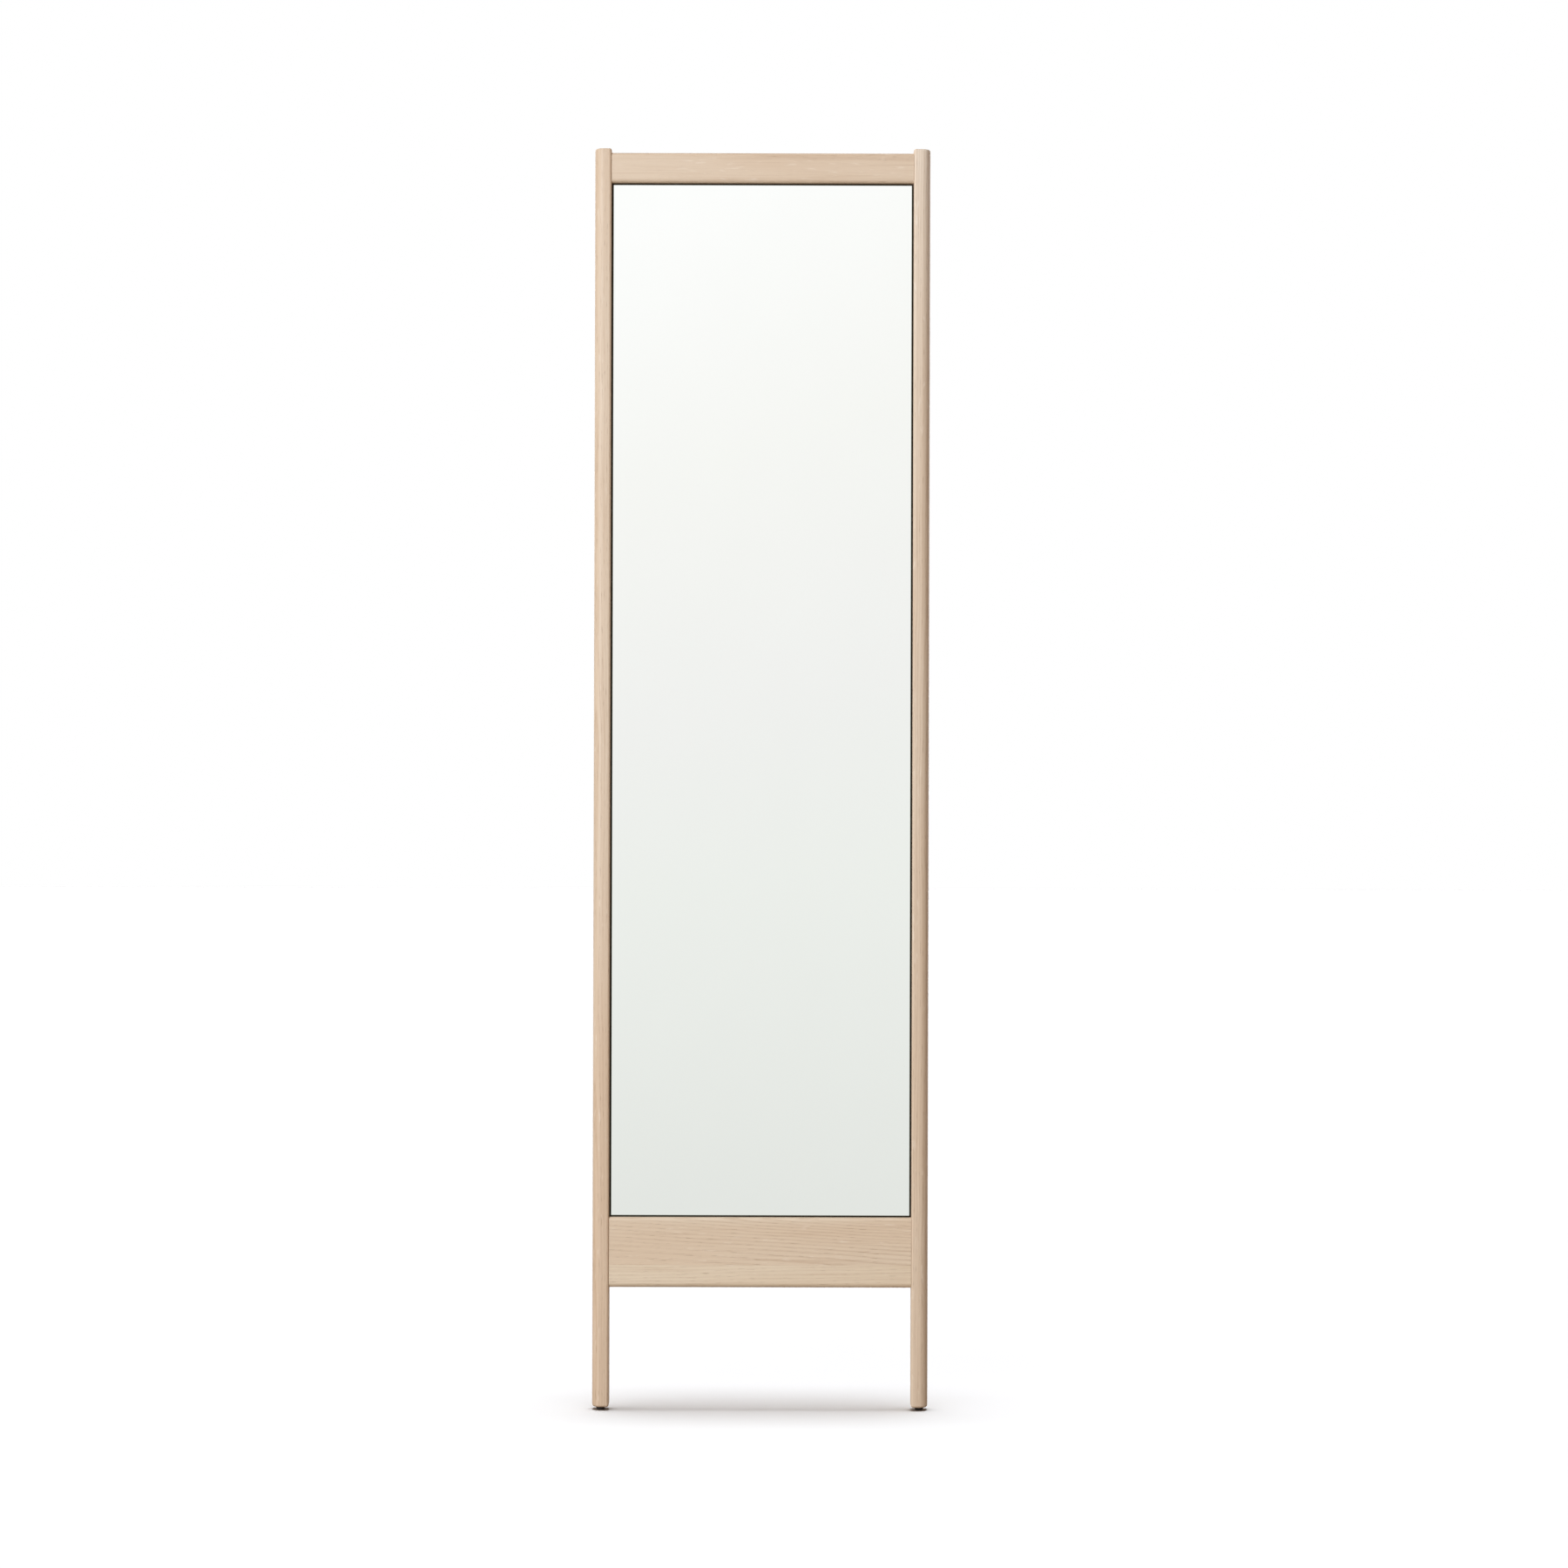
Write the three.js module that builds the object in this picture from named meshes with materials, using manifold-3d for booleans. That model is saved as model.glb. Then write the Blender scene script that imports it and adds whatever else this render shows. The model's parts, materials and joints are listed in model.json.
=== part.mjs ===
// A tall floor mirror: a ladder-shaped oak frame that stands on two short legs and rests against a wall.
// Millimetres, +Z up, +X to the viewer's right, and the mirror faces -Y.
// The origin is on the floor, under the middle of the whole object.

import * as THREE from "three";
import { mergeVertices } from "three/addons/utils/BufferGeometryUtils.js";
import Module from "manifold-3d";

const wasm = await Module();
wasm.setup();

// ---- Driving dimensions ----

const WIDTH = 520;
const HEIGHT = 1955;
const GAP = 0.3; // left between pieces that touch on the real object

// Stiles: the two uprights, which run from the feet to the top.
const STILE_WIDTH = 26;
const STILE_DEPTH = 32;
const STILE_OUTER_ROUND = 14; // front edge on the outside
const STILE_INNER_ROUND = 4; // front edge beside the mirror
const STILE_BACK_ROUND = 4;
const STILE_END_ROUND = 3;
const LEG_BOTTOM = 5; // the end of the wood, above the floor

// Rails: their front is a little behind the stiles' front.
const RAIL_SETBACK = 2;
const RAIL_THICKNESS = 24;
const RAIL_BACK_ROUND = 3;
const TOP_RAIL_HEIGHT = 47;
const TOP_RAIL_DROP = 6.5; // the stiles stand this far above it
const TOP_RAIL_UPPER_ROUND = 6;
const TOP_RAIL_LOWER_ROUND = 7;
const BOTTOM_RAIL_LOW = 190.5;
const LOWER_BOARD_HEIGHT = 35;
const UPPER_BOARD_HEIGHT = 74;
const BOTTOM_RAIL_UPPER_ROUND = 5;
const BOTTOM_RAIL_LOWER_ROUND = 8;

// The mirror, the board it is taped to, and the rebate that the board sits in.
const SHADOW_GAP = 2.5; // open slot between the mirror's edge and the frame
const MIRROR_SETBACK = 6; // from the stiles' front
const MIRROR_THICKNESS = 4;
const MIRROR_ARRIS = 0.6;
const TAPE_THICKNESS = 1;
const TAPE_WIDTH = 24;
const TAPE_LENGTH = 1480;
const TAPE_COUNT = 4;
const TAPE_SPREAD = 400; // between the outermost strips' centre lines
const BOARD_THICKNESS = 6;
const REBATE_WIDTH = 9.5;
const BOARD_PLAY = 0.5; // between the board's edge and the rebate's wall

// Back screws: they hold the board in its rebate.
const SIDE_SCREWS = 5;
const SIDE_SCREW_MARGIN = 110; // from the ends of the opening
const RAIL_SCREW_X = 125;
const SCREW = { shank: 1.7, length: 13, point: 3, head: 3.6, headHeight: 2.2, crown: 2.3 };
const PLATE_SCREW = { shank: 1.7, length: 13, point: 3, head: 3.4, headHeight: 1.7 };
const PILOT_PLAY = 0.3;
const PILOT_DEPTH = 1; // how much deeper than its screw a hole goes
const BOARD_HOLE_RADIUS = 2.2;

// Dowels: they join each rail to the stiles.
const DOWEL_RADIUS = 4;
const DOWEL_LENGTH = 40;
const DOWEL_CHAMFER = 1;
const TOP_DOWEL_HEIGHTS = [1920, 1938];
const BOTTOM_DOWEL_HEIGHTS = [208, 243, 273];

// Levelling feet: a threaded stem that turns in an insert, and a rubber pad that slides with it.
const STEM_RADIUS = 3;
const STEM_TOP = 31;
const STEM_CHAMFER = 1;
const STEM_PLAY = 0.6; // around the stem, in the wood above the insert
const FLANGE = { radius: 4.5, low: 1.5, high: 2.5 };
const PAD = { top: 4.6, radius: 6.75, floorRadius: 4, shoulder: 3.6 };
const INSERT = { radius: 5, length: 15 };

// Wall fittings: rubber bumpers on the stiles, and a keyhole plate that stops the frame tipping.
const BUMPER = { radius: 8, thickness: 3, height: 1915, round: 0.8 };
const PLATE = { width: 62, height: 20, thickness: 2, centre: 1928, screwX: 22, round: 3 };
const KEYHOLE = { hole: 4.5, slot: 2.4, centre: 1925, slotTop: 1933 };
const POCKET = { width: 13, height: 22, depth: 7 };

const ROUND_SIDES = 12;
const SCREW_SIDES = 8;
const BUMPER_SIDES = 24;
const EDGE_STEPS = 5; // in each quarter of a rounded edge
const END_STEPS = 3;
const DOME_STEPS = 4;
const PLATE_STEPS = 8;
const OVERCUT = 5; // how far a cutter runs past the surface it opens

// ---- Places worked out from them ----

const TOTAL_DEPTH = STILE_DEPTH + GAP + BUMPER.thickness;
const FRONT = -TOTAL_DEPTH / 2;
const STILE_CENTRE = (WIDTH - STILE_WIDTH) / 2;
const OPENING_HALF = WIDTH / 2 - STILE_WIDTH;
const GLUE_LINE = BOTTOM_RAIL_LOW + LOWER_BOARD_HEIGHT;
const OPENING_LOW = GLUE_LINE + UPPER_BOARD_HEIGHT;
const TOP_RAIL_HIGH = HEIGHT - TOP_RAIL_DROP;
const OPENING_HIGH = TOP_RAIL_HIGH - TOP_RAIL_HEIGHT;
const OPENING_CENTRE = (OPENING_LOW + OPENING_HIGH) / 2;
const RAIL_BACK = RAIL_SETBACK + RAIL_THICKNESS;
const RAIL_MIDDLE = FRONT + RAIL_SETBACK + RAIL_THICKNESS / 2;
const TAPE_FRONT = MIRROR_SETBACK + MIRROR_THICKNESS + GAP;
const SHOULDER = TAPE_FRONT + TAPE_THICKNESS;
const BOARD_FRONT = SHOULDER + GAP;
const BOARD_BACK = BOARD_FRONT + BOARD_THICKNESS;
const SCREW_INSET = REBATE_WIDTH / 2;
const STILE_MIDDLE = FRONT + STILE_DEPTH / 2;
const SIDES = [{ name: "left", sign: -1 }, { name: "right", sign: 1 }];

// ---- Shapes ----

// A rectangle whose corner radii run anticlockwise from the low, low corner.
function roundedRectangle(low, high, radii) {
  const [lowLow, highLow, highHigh, lowHigh] = radii;
  const shape = new THREE.Shape();
  shape.moveTo(low[0] + lowLow, low[1]);
  shape.lineTo(high[0] - highLow, low[1]);
  if (highLow) shape.absarc(high[0] - highLow, low[1] + highLow, highLow, -Math.PI / 2, 0);
  shape.lineTo(high[0], high[1] - highHigh);
  if (highHigh) shape.absarc(high[0] - highHigh, high[1] - highHigh, highHigh, 0, Math.PI / 2);
  shape.lineTo(low[0] + lowHigh, high[1]);
  if (lowHigh) shape.absarc(low[0] + lowHigh, high[1] - lowHigh, lowHigh, Math.PI / 2, Math.PI);
  shape.lineTo(low[0], low[1] + lowLow);
  if (lowLow) shape.absarc(low[0] + lowLow, low[1] + lowLow, lowLow, Math.PI, Math.PI * 1.5);
  return shape;
}

// Extrudes a section in X and Y up Z, with both ends rounded or chamfered inside the outline.
function column(shape, low, high, endRound, endSteps, curveSteps) {
  const geometry = new THREE.ExtrudeGeometry(shape, {
    depth: high - low - 2 * endRound,
    bevelEnabled: endRound > 0,
    bevelThickness: endRound,
    bevelSize: endRound,
    bevelOffset: -endRound,
    bevelSegments: endSteps,
    curveSegments: curveSteps,
  });
  geometry.translate(0, 0, low + endRound);
  return geometry;
}

// Turns a column whose section is (depth, height) into a beam along X.
function alongX(geometry) {
  const turn = new THREE.Matrix4().makeBasis(
    new THREE.Vector3(0, 1, 0),
    new THREE.Vector3(0, 0, 1),
    new THREE.Vector3(1, 0, 0),
  );
  return geometry.applyMatrix4(turn);
}

// Turns a column whose section is (width, height) to face -Y, with its low end at the front.
function facingFront(geometry) {
  const turn = new THREE.Matrix4().makeBasis(
    new THREE.Vector3(-1, 0, 0),
    new THREE.Vector3(0, 0, 1),
    new THREE.Vector3(0, 1, 0),
  );
  return geometry.applyMatrix4(turn);
}

function block(low, high) {
  const geometry = new THREE.BoxGeometry(high[0] - low[0], high[1] - low[1], high[2] - low[2]);
  geometry.translate((low[0] + high[0]) / 2, (low[1] + high[1]) / 2, (low[2] + high[2]) / 2);
  return geometry;
}

function rodAlongX(radius, length, centre) {
  const geometry = new THREE.CylinderGeometry(radius, radius, length, ROUND_SIDES);
  geometry.rotateZ(Math.PI / 2);
  geometry.translate(...centre);
  return geometry;
}

function rodAlongY(radius, low, high, x, z, sides) {
  const geometry = new THREE.CylinderGeometry(radius, radius, high - low, sides);
  geometry.translate(x, (low + high) / 2, z);
  return geometry;
}

function rodAlongZ(radius, low, high, x, y) {
  const geometry = new THREE.CylinderGeometry(radius, radius, high - low, ROUND_SIDES);
  geometry.rotateX(Math.PI / 2);
  geometry.translate(x, y, (low + high) / 2);
  return geometry;
}

// A round piece turned about Y; each profile point is (radius, place along the axis).
function turned(profile, sides) {
  return new THREE.LatheGeometry(profile.map(([radius, y]) => new THREE.Vector2(radius, y)), sides);
}

// The same, standing along Z.
function turnedUpright(profile, sides) {
  return turned(profile, sides).rotateX(Math.PI / 2);
}

// ---- Cutting ----

function toSolid(geometry) {
  const bare = geometry.clone();
  bare.deleteAttribute("normal");
  bare.deleteAttribute("uv");
  const merged = mergeVertices(bare);
  return new wasm.Manifold(new wasm.Mesh({
    numProp: 3,
    vertProperties: new Float32Array(merged.attributes.position.array),
    triVerts: new Uint32Array(merged.index.array),
  }));
}

function toGeometry(solid) {
  const mesh = solid.getMesh();
  const geometry = new THREE.BufferGeometry();
  geometry.setAttribute("position", new THREE.BufferAttribute(mesh.vertProperties, 3));
  geometry.setIndex(new THREE.BufferAttribute(mesh.triVerts, 1));
  geometry.computeVertexNormals();
  return geometry;
}

function cut(geometry, cutters) {
  let solid = toSolid(geometry);
  for (const cutter of cutters) {
    solid = solid.subtract(toSolid(cutter));
  }
  return toGeometry(solid);
}

// ---- Materials ----

function material(color, roughness, metalness) {
  return new THREE.MeshStandardMaterial({ color, roughness, metalness });
}

const oak = () => material(0xdcc4a4, 0.6, 0);
const beech = () => material(0xd2a679, 0.7, 0);
const silvered = () => material(0xe4e8e4, 0.05, 1);
const darkBoard = () => material(0x33261e, 0.85, 0);
const foamTape = () => material(0x1c1c1c, 0.9, 0);
const steel = () => material(0xb4b4b0, 0.35, 1);
const brass = () => material(0xb9975b, 0.35, 1);
const rubber = () => material(0x241d1a, 0.8, 0);

// ---- Assembly ----

const mirror = new THREE.Group();

function add(name, geometry, finish, position = [0, 0, 0]) {
  const mesh = new THREE.Mesh(geometry, finish);
  mesh.name = name;
  mesh.position.set(...position);
  mirror.add(mesh);
}

// Centres of evenly spaced things from low to high.
function spread(count, low, high) {
  return Array.from({ length: count }, (_, i) => low + ((high - low) * i) / (count - 1));
}

// Where the back screws stand: on each side, and along each rail.
const sideScrewHeights = spread(
  SIDE_SCREWS,
  OPENING_LOW + SIDE_SCREW_MARGIN,
  OPENING_HIGH - SIDE_SCREW_MARGIN,
);
const sideScrewX = OPENING_HALF + SCREW_INSET;
const screwPlaces = [];
for (const side of SIDES) {
  sideScrewHeights.forEach((z, i) => {
    screwPlaces.push({ name: `back_screw_${side.name}_${i + 1}`, x: side.sign * sideScrewX, z });
  });
  screwPlaces.push(
    { name: `back_screw_top_${side.name}`, x: side.sign * RAIL_SCREW_X, z: OPENING_HIGH + SCREW_INSET },
    { name: `back_screw_bottom_${side.name}`, x: side.sign * RAIL_SCREW_X, z: OPENING_LOW - SCREW_INSET },
  );
}

// A screw's hole in the wood, open towards the back.
function pilotHole(place, screw, headSeat) {
  const seat = FRONT + headSeat;
  const tip = seat - screw.length - PILOT_DEPTH;
  return rodAlongY(screw.shank + PILOT_PLAY, tip, seat + OVERCUT, place.x, place.z, SCREW_SIDES);
}

function pilotHoles(inPiece) {
  return screwPlaces.filter(inPiece).map((place) => pilotHole(place, SCREW, BOARD_BACK + GAP));
}

function dowelHoles(signs, heights) {
  const length = DOWEL_LENGTH + 2 * GAP; // a gap beyond each end
  const holes = [];
  for (const sign of signs) {
    for (const z of heights) {
      holes.push(rodAlongX(DOWEL_RADIUS + GAP, length, [sign * OPENING_HALF, RAIL_MIDDLE, z]));
    }
  }
  return holes;
}

function addStile({ name, sign }) {
  const centre = sign * STILE_CENTRE;
  const inner = sign * OPENING_HALF;
  const low = [centre - STILE_WIDTH / 2, FRONT];
  const high = [centre + STILE_WIDTH / 2, FRONT + STILE_DEPTH];
  const lowRound = sign > 0 ? STILE_INNER_ROUND : STILE_OUTER_ROUND;
  const highRound = sign > 0 ? STILE_OUTER_ROUND : STILE_INNER_ROUND;
  const section = roundedRectangle(low, high, [lowRound, highRound, STILE_BACK_ROUND, STILE_BACK_ROUND]);
  const wallX = inner + sign * REBATE_WIDTH;
  const openX = inner - sign * OVERCUT;
  const rebate = block(
    [Math.min(wallX, openX), FRONT + SHOULDER, OPENING_LOW - REBATE_WIDTH],
    [Math.max(wallX, openX), FRONT + STILE_DEPTH + OVERCUT, OPENING_HIGH + REBATE_WIDTH],
  );
  const insertTop = LEG_BOTTOM + INSERT.length;
  const cutters = [
    rebate,
    rodAlongZ(INSERT.radius + GAP, LEG_BOTTOM - OVERCUT, insertTop + GAP, centre, STILE_MIDDLE),
    rodAlongZ(STEM_RADIUS + STEM_PLAY, insertTop, STEM_TOP + STEM_PLAY, centre, STILE_MIDDLE),
    ...dowelHoles([sign], [...TOP_DOWEL_HEIGHTS, ...BOTTOM_DOWEL_HEIGHTS]),
    ...pilotHoles((place) => place.x === sign * sideScrewX),
  ];
  const blank = column(section, LEG_BOTTOM, HEIGHT, STILE_END_ROUND, END_STEPS, EDGE_STEPS);
  add(`${name}_stile`, cut(blank, cutters), oak());
}

// A rail's board, from a section given by its heights and corner radii, with what is cut out of it.
function addRailBoard(name, low, high, radii, cutters) {
  const section = roundedRectangle([FRONT + RAIL_SETBACK, low], [FRONT + RAIL_BACK, high], radii);
  const half = OPENING_HALF - GAP;
  const blank = alongX(column(section, -half, half, 0, 1, EDGE_STEPS));
  add(name, cut(blank, cutters), oak());
}

function railRebate(low, high) {
  const half = OPENING_HALF + OVERCUT;
  return block([-half, FRONT + SHOULDER, low], [half, FRONT + RAIL_BACK + OVERCUT, high]);
}

function addRails() {
  const bothSides = [-1, 1];
  const pocket = block(
    [-POCKET.width / 2, FRONT + RAIL_BACK - POCKET.depth, KEYHOLE.centre - POCKET.width / 2],
    [POCKET.width / 2, FRONT + RAIL_BACK + OVERCUT, KEYHOLE.centre - POCKET.width / 2 + POCKET.height],
  );
  const plateHoles = bothSides.map((sign) => {
    const place = { x: sign * PLATE.screwX, z: PLATE.centre };
    return pilotHole(place, PLATE_SCREW, RAIL_BACK + GAP + PLATE.thickness);
  });
  addRailBoard(
    "top_rail",
    OPENING_HIGH,
    TOP_RAIL_HIGH,
    [TOP_RAIL_LOWER_ROUND, 0, RAIL_BACK_ROUND, TOP_RAIL_UPPER_ROUND],
    [
      railRebate(OPENING_HIGH - OVERCUT, OPENING_HIGH + REBATE_WIDTH),
      pocket,
      ...plateHoles,
      ...dowelHoles(bothSides, TOP_DOWEL_HEIGHTS),
      ...pilotHoles((place) => place.z === OPENING_HIGH + SCREW_INSET),
    ],
  );
  addRailBoard(
    "bottom_rail_upper_board",
    GLUE_LINE + GAP,
    OPENING_LOW,
    [0, 0, 0, BOTTOM_RAIL_UPPER_ROUND],
    [
      railRebate(OPENING_LOW - REBATE_WIDTH, OPENING_LOW + OVERCUT),
      ...dowelHoles(bothSides, BOTTOM_DOWEL_HEIGHTS.filter((z) => z > GLUE_LINE)),
      ...pilotHoles((place) => place.z === OPENING_LOW - SCREW_INSET),
    ],
  );
  addRailBoard(
    "bottom_rail_lower_board",
    BOTTOM_RAIL_LOW,
    GLUE_LINE,
    [BOTTOM_RAIL_LOWER_ROUND, RAIL_BACK_ROUND, 0, 0],
    dowelHoles(bothSides, BOTTOM_DOWEL_HEIGHTS.filter((z) => z < GLUE_LINE)),
  );
}

function addDowels({ name, sign }) {
  const half = DOWEL_LENGTH / 2;
  const tip = DOWEL_RADIUS - DOWEL_CHAMFER;
  const profile = [
    [0, -half],
    [tip, -half],
    [DOWEL_RADIUS, -half + DOWEL_CHAMFER],
    [DOWEL_RADIUS, half - DOWEL_CHAMFER],
    [tip, half],
    [0, half],
  ];
  const rows = [["top", TOP_DOWEL_HEIGHTS], ["bottom", BOTTOM_DOWEL_HEIGHTS]];
  for (const [row, heights] of rows) {
    heights.forEach((z, i) => {
      const geometry = turned(profile, ROUND_SIDES).rotateZ(Math.PI / 2);
      add(`dowel_${row}_${name}_${i + 1}`, geometry, beech(), [sign * OPENING_HALF, RAIL_MIDDLE, z]);
    });
  }
}

function addMirror() {
  const halfWidth = OPENING_HALF - SHADOW_GAP;
  const halfHeight = (OPENING_HIGH - OPENING_LOW) / 2 - SHADOW_GAP;
  const outline = roundedRectangle([-halfWidth, -halfHeight], [halfWidth, halfHeight], [0, 0, 0, 0]);
  const pane = facingFront(column(outline, 0, MIRROR_THICKNESS, MIRROR_ARRIS, 1, 1));
  add("mirror_glass", pane, silvered(), [0, FRONT + MIRROR_SETBACK, OPENING_CENTRE]);

  spread(TAPE_COUNT, -TAPE_SPREAD / 2, TAPE_SPREAD / 2).forEach((x, i) => {
    const strip = new THREE.BoxGeometry(TAPE_WIDTH, TAPE_THICKNESS, TAPE_LENGTH);
    const y = FRONT + TAPE_FRONT + TAPE_THICKNESS / 2;
    add(`mirror_tape_${i + 1}`, strip, foamTape(), [x, y, OPENING_CENTRE]);
  });

  const boardX = OPENING_HALF + REBATE_WIDTH - BOARD_PLAY;
  const board = block(
    [-boardX, FRONT + BOARD_FRONT, OPENING_LOW - REBATE_WIDTH + BOARD_PLAY],
    [boardX, FRONT + BOARD_BACK, OPENING_HIGH + REBATE_WIDTH - BOARD_PLAY],
  );
  const holes = screwPlaces.map(({ x, z }) => {
    const front = FRONT + BOARD_FRONT - OVERCUT;
    return rodAlongY(BOARD_HOLE_RADIUS, front, front + BOARD_THICKNESS + 2 * OVERCUT, x, z, SCREW_SIDES);
  });
  add("backing_board", cut(board, holes), darkBoard());
}

// A wood screw along Y with its head to the back and the underside of its head, or its rim, at zero.
function screwProfile(screw, head) {
  return [
    [0, -screw.length],
    [screw.shank, -screw.length + screw.point],
    ...head,
  ];
}

function addBackScrews() {
  const panHead = [
    [SCREW.shank, 0],
    [SCREW.head, 0],
    [SCREW.head, SCREW.headHeight / 2],
    [SCREW.crown, SCREW.headHeight],
    [0, SCREW.headHeight],
  ];
  for (const { name, x, z } of screwPlaces) {
    const geometry = turned(screwProfile(SCREW, panHead), SCREW_SIDES);
    add(name, geometry, steel(), [x, FRONT + BOARD_BACK + GAP, z]);
  }
}

function addFoot({ name, sign }) {
  const x = sign * STILE_CENTRE;
  const bore = STEM_RADIUS + GAP;
  const insertLow = LEG_BOTTOM + GAP;
  const insertHigh = LEG_BOTTOM + INSERT.length;
  const insert = [
    [bore, insertLow],
    [INSERT.radius, insertLow],
    [INSERT.radius, insertHigh],
    [bore, insertHigh],
    [bore, insertLow],
  ];
  const stem = [
    [0, FLANGE.low],
    [FLANGE.radius, FLANGE.low],
    [FLANGE.radius, FLANGE.high],
    [STEM_RADIUS, FLANGE.high],
    [STEM_RADIUS, STEM_TOP - STEM_CHAMFER],
    [STEM_RADIUS - STEM_CHAMFER, STEM_TOP],
    [0, STEM_TOP],
  ];
  const dome = new THREE.EllipseCurve(
    PAD.floorRadius,
    PAD.shoulder,
    PAD.radius - PAD.floorRadius,
    PAD.shoulder,
    -Math.PI / 2,
    0,
  );
  const pad = [
    [0, 0],
    ...dome.getPoints(DOME_STEPS).map((point) => [point.x, point.y]),
    [PAD.radius, PAD.top],
    [bore, PAD.top],
    [bore, FLANGE.high + GAP],
    [FLANGE.radius + GAP, FLANGE.high + GAP],
    [FLANGE.radius + GAP, FLANGE.low - GAP],
    [0, FLANGE.low - GAP],
  ];
  const place = [x, STILE_MIDDLE, 0];
  add(`${name}_foot_insert`, turnedUpright(insert, ROUND_SIDES), brass(), place);
  add(`${name}_foot_stem`, turnedUpright(stem, ROUND_SIDES), steel(), place);
  add(`${name}_foot_pad`, turnedUpright(pad, ROUND_SIDES), rubber(), place);
}

function addBumper({ name, sign }) {
  const { radius, thickness, round } = BUMPER;
  const profile = [
    [0, 0],
    [radius, 0],
    [radius, thickness - round],
    [radius - round, thickness],
    [0, thickness],
  ];
  const place = [sign * STILE_CENTRE, FRONT + STILE_DEPTH + GAP, BUMPER.height];
  add(`${name}_wall_bumper`, turned(profile, BUMPER_SIDES), rubber(), place);
}

function addWallPlate() {
  const { width, height, thickness, round } = PLATE;
  const outline = roundedRectangle([-width / 2, -height / 2], [width / 2, height / 2], Array(4).fill(round));
  const keyhole = new THREE.Path();
  const low = KEYHOLE.centre - PLATE.centre;
  const high = KEYHOLE.slotTop - PLATE.centre;
  const mouth = Math.acos(KEYHOLE.slot / KEYHOLE.hole);
  keyhole.absarc(0, low, KEYHOLE.hole, mouth, Math.PI - mouth, true);
  keyhole.absarc(0, high, KEYHOLE.slot, Math.PI, 0, true);
  outline.holes.push(keyhole);
  const plateFront = FRONT + RAIL_BACK + GAP;
  const blank = facingFront(column(outline, 0, thickness, 0, 1, PLATE_STEPS));
  blank.translate(0, plateFront, PLATE.centre);
  const plateBack = plateFront + thickness;
  const countersink = screwProfile({ ...PLATE_SCREW, shank: PLATE_SCREW.shank + PILOT_PLAY }, [
    [PLATE_SCREW.shank + PILOT_PLAY, -PLATE_SCREW.headHeight - PILOT_PLAY],
    [PLATE_SCREW.head + PILOT_PLAY, 0],
    [PLATE_SCREW.head + PILOT_PLAY, OVERCUT],
    [0, OVERCUT],
  ]);
  const sinks = SIDES.map(({ sign }) => {
    return turned(countersink, SCREW_SIDES).translate(sign * PLATE.screwX, plateBack, PLATE.centre);
  });
  add("wall_plate", cut(blank, sinks), steel());

  const flatHead = [
    [PLATE_SCREW.shank, -PLATE_SCREW.headHeight],
    [PLATE_SCREW.head, 0],
    [0, 0],
  ];
  for (const { name, sign } of SIDES) {
    const geometry = turned(screwProfile(PLATE_SCREW, flatHead), SCREW_SIDES);
    add(`wall_plate_screw_${name}`, geometry, steel(), [sign * PLATE.screwX, plateBack, PLATE.centre]);
  }
}

SIDES.forEach(addStile);
addRails();
SIDES.forEach(addDowels);
addMirror();
addBackScrews();
SIDES.forEach(addFoot);
SIDES.forEach(addBumper);
addWallPlate();

export default mirror;
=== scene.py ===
"""The looks of a leaning floor mirror: oak frame, silvered glass, screws, feet and wall fittings.

Metres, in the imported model's frame: +Z up the stiles, +X to the viewer's right, the mirror faces -Y.
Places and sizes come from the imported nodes' boxes. The rest are the finishing details named below.
"""

import json
import math
import random

import bmesh
import bpy
from mathutils import Matrix, Vector


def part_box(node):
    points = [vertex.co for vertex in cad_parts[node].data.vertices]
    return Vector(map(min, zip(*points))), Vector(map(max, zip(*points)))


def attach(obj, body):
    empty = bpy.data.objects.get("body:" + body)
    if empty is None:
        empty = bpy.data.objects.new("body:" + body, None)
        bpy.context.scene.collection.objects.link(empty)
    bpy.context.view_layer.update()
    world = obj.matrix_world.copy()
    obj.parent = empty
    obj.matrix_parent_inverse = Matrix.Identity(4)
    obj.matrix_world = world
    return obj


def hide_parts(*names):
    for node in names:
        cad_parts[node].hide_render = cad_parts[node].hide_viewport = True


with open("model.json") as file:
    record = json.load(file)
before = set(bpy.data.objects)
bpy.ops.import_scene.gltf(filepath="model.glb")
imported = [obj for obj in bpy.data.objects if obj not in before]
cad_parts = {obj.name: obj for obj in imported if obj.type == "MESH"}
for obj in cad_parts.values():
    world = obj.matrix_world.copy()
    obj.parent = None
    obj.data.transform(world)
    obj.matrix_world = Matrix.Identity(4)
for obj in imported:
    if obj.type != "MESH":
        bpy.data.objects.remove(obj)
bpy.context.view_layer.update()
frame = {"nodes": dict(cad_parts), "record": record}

MM = 0.001
SIDES = {"left": -1, "right": 1}
BODY_OF = {
    node: body
    for body, nodes in frame["record"]["behaviour"]["bodies"].items()
    for node in nodes
}

# ---- Camera and studio ----

CAMERA_DISTANCE = 6.0  # in front of the stiles
CAMERA_X = 0.0352
CAMERA_HEIGHT = 0.971
CAMERA_ROLL = math.radians(0.148)
VIEW_WIDTH = 2.4275  # what the picture spans at the stiles
SENSOR = 36.0
CAMERA_REACH = 100
REFLECTION_CARD_DISTANCE = 2.0  # the glowing card whose painted gradient is the mirror's reflection, in front of the stiles
REFLECTION_CARD_SPAN = ((-0.8, 0.0), (0.8, 2.7))
REFLECTION_CARD_FADE = (0.38, 2.28)  # where it starts to fade out, sideways and upwards
REFLECTION_CARD_TOP = 2.3
REFLECTION_CARD_FALLOFF = 0.2  # how much more its painted glow falls away to the right, for each metre of height
SILVER = 0.935
FILL_FROM = (-0.85, -0.40, 0.35)  # the side that the world's soft light comes from
FILL_STOPS = ((0.1, (0.08, 0.045, 0.025, 1)), (0.9, (0.60, 0.50, 0.43, 1)))
WHITE = (1, 1, 1, 1)
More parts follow.
